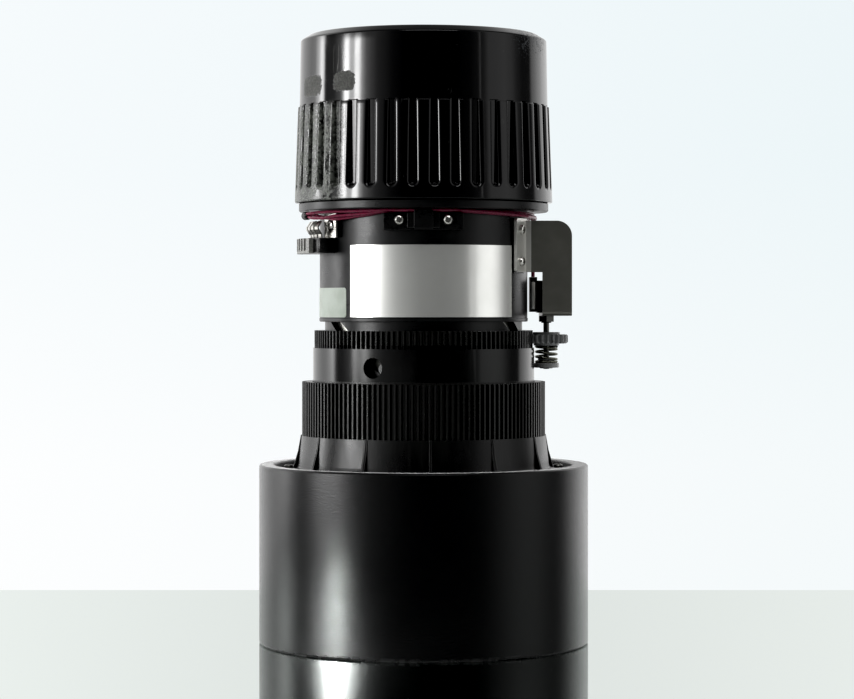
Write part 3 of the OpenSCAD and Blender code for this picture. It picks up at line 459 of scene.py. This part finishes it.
def add_piece(name, verts, faces, slot, body, replaces=(), smooth_deg=32.0, quads_only=False):
    me = bpy.data.meshes.new(name)
    me.from_pydata([tuple(c * MM for c in v) for v in verts], [], faces)
    me.update()
    bm = bmesh.new()
    bm.from_mesh(me)
    bmesh.ops.remove_doubles(bm, verts=bm.verts, dist=1e-7)
    bmesh.ops.recalc_face_normals(bm, faces=bm.faces)
    bm.to_mesh(me)
    bm.free()
    me.shade_smooth()
    me.set_sharp_from_angle(angle=math.radians(smooth_deg))
    o = bpy.data.objects.new(name, me)
    bpy.context.scene.collection.objects.link(o)
    me.materials.append(mats[slot].m)
    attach(o, body)
    if replaces:
        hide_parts(*replaces)
    return o


def rounded(points, radii, steps=4):
    """A closed profile of (r, z) points with its corners rounded."""
    out = []
    n = len(points)
    for i, (p, rad) in enumerate(zip(points, radii)):
        a, b = Vector(points[i - 1]), Vector(points[(i + 1) % n])
        p = Vector(p)
        da, db = (a - p), (b - p)
        if rad <= 0 or da.length < 1e-6 or db.length < 1e-6:
            out.append(tuple(p))
            continue
        half = da.angle(db) / 2
        t = min(rad / math.tan(half), 0.45 * da.length, 0.45 * db.length)
        s0, s1 = p + da.normalized() * t, p + db.normalized() * t
        for k in range(steps + 1):
            u = k / steps
            q = s0 * (1 - u) ** 2 + p * 2 * u * (1 - u) + s1 * u ** 2
            out.append(tuple(q))
    return out


def lathe(name, profile, segs, slot, body, replaces=(), smooth_deg=32.0):
    """A closed (r, z) profile turned round the optical axis."""
    verts, faces, rows = [], [], []
    for r, z in profile:
        if r < 1e-6:
            rows.append([len(verts)] * segs)
            verts.append((0, 0, z))
        else:
            rows.append(list(range(len(verts), len(verts) + segs)))
            verts += [(r * math.cos(2 * math.pi * k / segs), r * math.sin(2 * math.pi * k / segs), z) for k in range(segs)]
    n = len(rows)
    for i in range(n):
        a, b = rows[i], rows[(i + 1) % n]
        if a[0] == a[1] and b[0] == b[1]:
            continue
        for k in range(segs):
            q = [a[k], a[(k + 1) % segs], b[(k + 1) % segs], b[k]]
            q = [x for j, x in enumerate(q) if x not in q[:j]]
            if len(q) > 2:
                faces.append(q)
    return add_piece(name, verts, faces, slot, body, replaces, smooth_deg)


def hood_piece():
    ridge = [q for k in range(9) for q in ((52.8, 49.4 - 3.2 * k), (53.2, 49.4 - 3.2 * k), (52.8, 46.8 - 3.2 * k))]
    pts = [(55.5, 0), (56, 0.5), (56, 60.1), (55.5, 60.6), (51.1, 60.6), (50.75, 60.2), (50.75, 57), (41, 57), (41, 53.8), (49.4, 53.8), (52.8, 50.4)]
    pts += ridge + [(52.85, 20.2), (52.85, 13.2), (53.4, 13.2), (53.4, 0.8), (54.2, 0)]
    rad = [0.3, 0.5, 0.5, 0.4, 0.3, 0.3, 0.6, 0.05, 0.05, 0.5, 0.5] + [0.05, 0.1, 0.05] * 9 + [0.05, 0.1, 0.1, 0.4, 0.3]
    return lathe("hood_shell", rounded(pts, rad), 288, "hood_plastic", "focus_drive", ["hood"])


def cap_piece():
    """The rear cap with its 38 closed grooves, their edges rounded."""
    grooves = 38
    offs = [0, 0.4, 0.66, 0.77, 0.84, 0.90, 0.95, 1.01, 1.08, 1.16, 1.25, 1.34, 1.44, 1.54, 1.65, 1.76, 1.88, 2.02, 2.2, 2.8]
    pitch = 2 * math.pi * 43.0 / grooves
    cols = []
    for k in range(grooves):
        centre = (k + 0.5) * 360 / grooves - 90
        for u in [-x for x in reversed(offs[1:])] + offs + [pitch / 2]:
            cols.append((math.radians(centre) + u / 43.0, u))
    rows = []  # (radius, z, grooved)
    outer = rounded([(40.4, 149.4), (43.6, 149.4), (43.9, 149.7), (42.8, 181.9), (42.3, 181.9), (41.9, 204.3), (41.6, 204.7), (38.9, 206.35),
                     (38.4, 206.5), (33.1, 206.5), (33.0, 205.8), (0, 205.8)], [0, 0.25, 0.3, 0.32, 0.06, 1.2, 0.9, 0.5, 0.3, 0.12, 0.1, 0])
    dense = []
    for a, b in zip(outer, outer[1:]):
        dense.append(a)
        if a[1] < 152 and b[1] > 175:
            zs = [150.6, 151.8, 152.8, 153.1, 153.25, 153.38, 153.5, 153.62, 153.73, 153.83, 153.93, 154.03, 154.13, 154.22, 154.31, 154.38, 154.46, 154.56, 154.75, 155.05, 155.35, 155.8, 157, 160, 164, 168, 172, 176, 179, 180.6]
            dense += [(a[0] + (b[0] - a[0]) * (z - a[1]) / (b[1] - a[1]), z) for z in zs]
        elif a[1] < 183 and b[1] > 200:
            zs = [182.05, 182.15, 182.25, 182.4, 183.2, 186, 190, 194, 198, 201]
            dense += [(a[0] + (b[0] - a[0]) * (z - a[1]) / (b[1] - a[1]), z) for z in zs]
    dense.append(outer[-1])
    inner = [(0, 203.9), (37.2, 203.9), (39, 201.9), (39.8, 160.5), (40, 159.5), (40, 150)]

    def cut(u, z):
        if z < 153.0 or z > 182.3:
            return 0.0
        low = 155.35
        d = (math.hypot(u, low - z) if z < low else abs(u)) - 1.25
        wide = 1.5
        d += 0.35
        if d >= wide:
            return 0.0
        t = 1.0 if d <= 0 else (wide - math.sqrt(wide ** 2 - (wide - d) ** 2)) / 1.42
        t = min(1.0, t + max(0.0, min(1.0, (0.12 - d) / 0.24)))
        if z > 181.95:
            t *= max(0.0, min(1.0, (182.25 - z) / 0.2))
        return t

    verts, faces, index = [], [], []
    n = len(cols)
    for r, z in dense + inner:
        if r < 1e-6:
            index.append([len(verts)] * n)
            verts.append((0, 0, z))
            continue
        index.append(list(range(len(verts), len(verts) + n)))
        for ang, u in cols:
            c = cut(u, z) if r > 41 else 0.0
            rr = r + (min(r, 41.7) - r) * c
            verts.append((rr * math.cos(ang), rr * math.sin(ang), z))
    for i in range(len(index)):
        a, b = index[i], index[(i + 1) % len(index)]
        if a[0] == a[1] and b[0] == b[1]:
            continue
        for k in range(n):
            q = [a[k], a[(k + 1) % n], b[(k + 1) % n], b[k]]
            q = [x for j, x in enumerate(q) if x not in q[:j]]
            if len(q) > 2:
                faces.append(q)
    return add_piece("cap_shell", verts, faces, "cap_plastic", "rear_cover", ["rear_cap"], 50.0)


def soften(names, width, segments=2, angle=34.0):
    """Rounds the sharp edges of carried-over nodes with modifiers."""
    for n in names:
        o = nodes[n]
        w = o.modifiers.new("weld", "WELD")
        w.merge_threshold = 2e-6
        b = o.modifiers.new("bevel", "BEVEL")
        b.width = width * MM
        b.segments = segments
        b.limit_method = "ANGLE"
        b.angle_limit = math.radians(angle)
        b.use_clamp_overlap = True
        b.harden_normals = False
        b.miter_outer = "MITER_ARC"


hood_piece()
cap_piece()
soften(["lock_block"], 0.75, 3)
soften(["connector_block", "contact_bracket", "sensor_body"], 0.3)


def rib_edges():
    """Rounded outer edges for the twelve ribs of the focus ring's skirt."""
    path = [(44.3, 59.3), (44.24, 60.0), (42.74, 65.2), (41.79, 70.5)]
    line = []
    for (r0, z0), (r1, z1) in zip(path, path[1:]):
        line += [(r0 + (r1 - r0) * k / 4, z0 + (z1 - z0) * k / 4) for k in range(4)]
    line.append(path[-1])
    verts, faces = [], []
    around = [math.radians(t) for t in range(-90, 91, 15)]
    for a in range(12):
        turn = math.radians(3 + 30 * a - 90)
        ux, uy = math.cos(turn), math.sin(turn)
        rings = []
        for r, z in line:
            ring = [(r - 1.3, -0.66)] + [(r - 0.58 + 0.66 * math.cos(t), 0.66 * math.sin(t)) for t in around] + [(r - 1.3, 0.66)]
            rings.append(list(range(len(verts), len(verts) + len(ring))))
            verts += [(x * ux - y * uy, x * uy + y * ux, z) for x, y in ring]
        for p0, p1 in zip(rings, rings[1:]):
            for k in range(len(p0)):
                j = (k + 1) % len(p0)
                faces.append([p0[k], p0[j], p1[j], p1[k]])
        faces += [rings[0], list(reversed(rings[-1]))]
    return add_piece("rib_edges", verts, faces, "moulded_black", "focus_drive", (), 40.0)


def terminal_strip():
    """The pale strip in the slot of the sensor's terminals."""
    bm = bmesh.new()
    bmesh.ops.create_cube(bm, size=1.0)
    bmesh.ops.scale(bm, vec=(1.24, 0.5, 9.3), verts=bm.verts)
    bmesh.ops.bevel(bm, geom=list(bm.edges), offset=0.14, segments=3, affect="EDGES", profile=0.5)
    bmesh.ops.translate(bm, vec=(37.6, 3.72, 118.0), verts=bm.verts)
    bm.verts.index_update()
    verts = [tuple(v.co) for v in bm.verts]
    faces = [[v.index for v in f.verts] for f in bm.faces]
    bm.free()
    return add_piece("terminal_strip", verts, faces, "plate_silver", "barrel", (), 40.0)


rib_edges()
terminal_strip()


# ---------------------------------------------------------------- set

def floor_material():
    """A pale polished table: white and matt from above, a mirror at a grazing angle."""
    m = bpy.data.materials.new("table_top")
    m.use_nodes = True
    nt = m.node_tree
    nt.nodes.clear()
    out = nt.nodes.new("ShaderNodeOutputMaterial")
    mix = nt.nodes.new("ShaderNodeMixShader")
    dull = nt.nodes.new("ShaderNodeBsdfDiffuse")
    dull.inputs["Color"].default_value = (0.78, 0.80, 0.79, 1)
    shiny = nt.nodes.new("ShaderNodeBsdfGlossy")
    shiny.inputs["Color"].default_value = (0.765, 0.80, 0.78, 1)
    shiny.inputs["Roughness"].default_value = 0.035
    lw = nt.nodes.new("ShaderNodeLayerWeight")
    lw.inputs["Blend"].default_value = 0.5
    rng = nt.nodes.new("ShaderNodeMapRange")
    rng.interpolation_type = "SMOOTHSTEP"
    for key, x in (("From Min", 0.50), ("From Max", 0.83), ("To Min", 0.03), ("To Max", 1.0)):
        rng.inputs[key].default_value = x
    nt.links.new(lw.outputs["Facing"], rng.inputs["Value"])
    # the table ends a little way left of the lens
    place = nt.nodes.new("ShaderNodeTexCoord")
    split = nt.nodes.new("ShaderNodeSeparateXYZ")
    nt.links.new(place.outputs["Object"], split.inputs[0])
    near = nt.nodes.new("ShaderNodeMapRange")
    near.interpolation_type = "SMOOTHSTEP"
    for key, x in (("From Min", -0.36), ("From Max", -0.20), ("To Min", 0.0), ("To Max", 1.0)):
        near.inputs[key].default_value = x
    nt.links.new(split.outputs["X"], near.inputs["Value"])
    both = nt.nodes.new("ShaderNodeMath")
    both.operation = "MULTIPLY"
    nt.links.new(rng.outputs[0], both.inputs[0])
    nt.links.new(near.outputs[0], both.inputs[1])
    nt.links.new(both.outputs[0], mix.inputs[0])
    nt.links.new(dull.outputs[0], mix.inputs[1])
    nt.links.new(shiny.outputs[0], mix.inputs[2])
    nt.links.new(mix.outputs[0], out.inputs["Surface"])
    return m


def add_floor():
    me = bpy.data.meshes.new("table_top")
    bm = bmesh.new()
    vs = [bm.verts.new(p) for p in ((-3, -3, 0), (3, -3, 0), (3, 0.166, 0), (-3, 0.166, 0))]
    bm.faces.new(vs)
    bm.to_mesh(me)
    bm.free()
    o = bpy.data.objects.new("table_top", me)
    bpy.context.scene.collection.objects.link(o)
    me.materials.append(floor_material())
    return o


def add_world():
    w = bpy.data.worlds.new("studio")
    bpy.context.scene.world = w
    w.use_nodes = True
    nt = w.node_tree
    nt.nodes.clear()
    out = nt.nodes.new("ShaderNodeOutputWorld")
    lit = nt.nodes.new("ShaderNodeBackground")
    seen = nt.nodes.new("ShaderNodeBackground")
    seen.inputs["Strength"].default_value = 1.0
    path = nt.nodes.new("ShaderNodeLightPath")
    mix = nt.nodes.new("ShaderNodeMixShader")
    tc = nt.nodes.new("ShaderNodeTexCoord")
    sep = nt.nodes.new("ShaderNodeSeparateXYZ")
    nt.links.new(tc.outputs["Generated"], sep.inputs[0])

    def math_node(op, a, b=0.0, clamp=False):
        n = nt.nodes.new("ShaderNodeMath")
        n.operation = op
        n.use_clamp = clamp
        for s, x in ((n.inputs[0], a), (n.inputs[1], b)):
            if isinstance(x, (int, float)):
                s.default_value = x
            else:
                nt.links.new(x, s)
        return n.outputs[0]

    def ramp_node(fac, stops, kind="LINEAR"):
        n = nt.nodes.new("ShaderNodeValToRGB")
        n.color_ramp.interpolation = kind
        e = n.color_ramp.elements
        e[0].position, e[0].color = stops[0][0], (*stops[0][1], 1)
        e[1].position, e[1].color = stops[-1][0], (*stops[-1][1], 1)
        for p, c in stops[1:-1]:
            x = e.new(p)
            x.color = (*c, 1)
        nt.links.new(fac, n.inputs["Fac"])
        return n.outputs["Color"]

    # azimuth of the direction: 0 at -Y (behind the camera), + toward -X (the left), 180 at +Y
    az = math_node("MULTIPLY", math_node("ARCTAN2", math_node("MULTIPLY", sep.outputs[0], -1.0), math_node("MULTIPLY", sep.outputs[1], -1.0)), 57.29578)
    u = math_node("ADD", math_node("DIVIDE", az, 360.0), 0.5)
    el = math_node("MULTIPLY", math_node("ARCSINE", sep.outputs[2]), 57.29578)
    v = math_node("ADD", math_node("DIVIDE", el, 180.0), 0.5)

    def at_elevation(stops):
        return ramp_node(v, [((e + 90) / 180, (x, x, x)) for e, x in stops])

    def product(*sockets):
        out = sockets[0]
        for x in sockets[1:]:
            n = nt.nodes.new("ShaderNodeVectorMath")
            n.operation = "MULTIPLY"
            nt.links.new(out, n.inputs[0])
            nt.links.new(x, n.inputs[1])
            out = n.outputs[0]
        return out

    def scaled(socket, k):
        n = nt.nodes.new("ShaderNodeVectorMath")
        n.operation = "SCALE"
        nt.links.new(socket, n.inputs[0])
        n.inputs["Scale"].default_value = k
        return n.outputs[0]

    def total(*sockets):
        out = sockets[0]
        for x in sockets[1:]:
            n = nt.nodes.new("ShaderNodeVectorMath")
            n.operation = "ADD"
            nt.links.new(out, n.inputs[0])
            nt.links.new(x, n.inputs[1])
            out = n.outputs[0]
        return out

    # the wide backdrop, the dim room in front and a dim wall at the right
    wide = [
        (-180, 1.0), (-165, 1.15), (-144, 1.9), (-130, 1.8), (-119, 1.35), (-115.5, 0.16), (-103, 0.2), (-96, 0.44), (-89, 0.95), (-80, 1.25),
        (-62, 1.15), (-57.5, 0.5), (-54.5, 0.35), (-54.0, 1.5), (-52.6, 1.5), (-52.0, 0.3), (-44, 0.16), (-20, 0.07), (16, 0.07), (29, 0.20),
        (39, 0.55), (46, 0.9), (86, 0.8), (92, 0.34), (101, 0.22), (104, 0.9), (108, 3.0), (118, 2.6), (128, 1.7), (150, 1.4), (180, 1.0)]
    # two tall windows at the left, and the bright edge of the backdrop
    tall = [
        (-180, 0.0), (44, 0.0), (49, 0.7), (55, 2.2), (59.5, 8.0), (61.2, 22.0), (66.0, 22.0), (67.2, 10.0), (72.2, 10.0), (73.4, 23.0),
        (77.6, 23.0), (79.6, 5.0), (83, 1.2), (90, 0.3), (103.5, 0.3), (106, 8.5), (109.5, 9.0), (114, 3.2), (120, 0.0), (180, 0.0)]
    k_wide, k_tall = 4.0, 24.0
    side = scaled(ramp_node(u, [((a + 180) / 360, tuple([x / k_wide] * 3)) for a, x in wide]), k_wide)
    strip = scaled(ramp_node(u, [((a + 180) / 360, tuple([x / k_tall] * 3)) for a, x in tall]), k_tall)
    e_wide = at_elevation([(-90, 0.3), (-20, 0.8), (0, 1.0), (34, 1.0), (52, 0.25), (70, 0.06), (90, 0.03)])
    e_tall = at_elevation([(-90, 0.0), (-14, 0.05), (-3.2, 0.11), (-1.4, 0.19), (-0.2, 0.5), (1.6, 0.85), (4.5, 1.0), (8.6, 1.0), (10.2, 0.2), (14, 0.10), (22, 0.02), (60, 0.0), (90, 0.0)])
    over = at_elevation([(-90, 0.2), (0, 0.0), (30, 0.0), (75, 0.10), (90, 0.14)])
    nt.links.new(total(product(side, e_wide), product(strip, e_tall), over), lit.inputs["Color"])
    lit.inputs["Strength"].default_value = 1.0
    # the pale backdrop itself: a little dimmer to the right, nearly white low down
    across = ramp_node(u, [(0.0, (0.907, 0.953, 0.971)), (10 / 360, (0.875, 0.935, 0.953)), (30 / 360, (0.92, 0.95, 0.96)), (330 / 360, (0.95, 0.97, 0.98)), (350 / 360, (0.94, 0.972, 0.985)), (1.0, (0.907, 0.953, 0.971))])
    down = ramp_node(v, [(0.0, (0.06, 0.035, 0.025)), ((90 - 3.5) / 180, (0.05, 0.025, 0.015)), ((90 + 3.0) / 180, (0.0, 0.0, 0.0)), (1.0, (0.0, 0.0, 0.0))])
    nt.links.new(total(across, down), seen.inputs["Color"])
    nt.links.new(path.outputs["Is Camera Ray"], mix.inputs[0])
    nt.links.new(lit.outputs[0], mix.inputs[1])
    nt.links.new(seen.outputs[0], mix.inputs[2])
    nt.links.new(mix.outputs[0], out.inputs["Surface"])


def add_light(name, place, target, size, size_y, power, color=(1, 1, 1)):
    d = bpy.data.lights.new(name, "AREA")
    d.shape = "RECTANGLE"
    d.size, d.size_y = size, size_y
    d.energy = power
    d.color = color
    o = bpy.data.objects.new(name, d)
    bpy.context.scene.collection.objects.link(o)
    o.location = place
    o.rotation_euler = (Vector(target) - Vector(place)).to_track_quat("-Z", "Y").to_euler()
    o.visible_camera = False
    return o


def add_camera():
    cam = bpy.data.cameras.new("camera")
    o = bpy.data.objects.new("camera", cam)
    bpy.context.scene.collection.objects.link(o)
    bpy.context.scene.camera = o
    cam.sensor_width = 36.0
    cam.lens = 2704.0 / 854.0 * 36.0
    cam.shift_x = 3.4 / 854.0
    cam.shift_y = -(349.5 - 306.0) / 854.0
    cam.clip_start, cam.clip_end = 0.02, 50.0
    o.location = (0.0, -0.923, 0.1144)
    o.rotation_euler = (math.radians(90), 0, 0)
    return o


add_floor()
add_world()
add_light("front_soft", (0.10, -0.75, 1.15), (0, 0, 0.1), 0.9, 0.5, 5.0)
# low light that reaches the bottom of the hood by way of the table
kick = bpy.data.lights.new("low_kick", "SPOT")
kick.energy = 185.0
kick.shadow_soft_size = 0.02
kick.spot_size = math.radians(5.6)
kick.spot_blend = 0.8
kick_o = bpy.data.objects.new("low_kick", kick)
bpy.context.scene.collection.objects.link(kick_o)
kick_o.location = (-0.60, -0.355, 0.072)
kick_o.rotation_euler = (Vector((-0.128, -0.102, 0.0)) - kick_o.location).to_track_quat("-Z", "Y").to_euler()
kick_o.visible_camera = False
kick_o.visible_diffuse = False
add_camera()
view_settings = bpy.context.scene.view_settings
view_settings.view_transform = "Standard"
view_settings.look = "None"
view_settings.gamma = 0.8
view_settings.use_curve_mapping = True
view_settings.curve_mapping.black_level = (0.0065, 0.0065, 0.0065)
view_settings.curve_mapping.update()
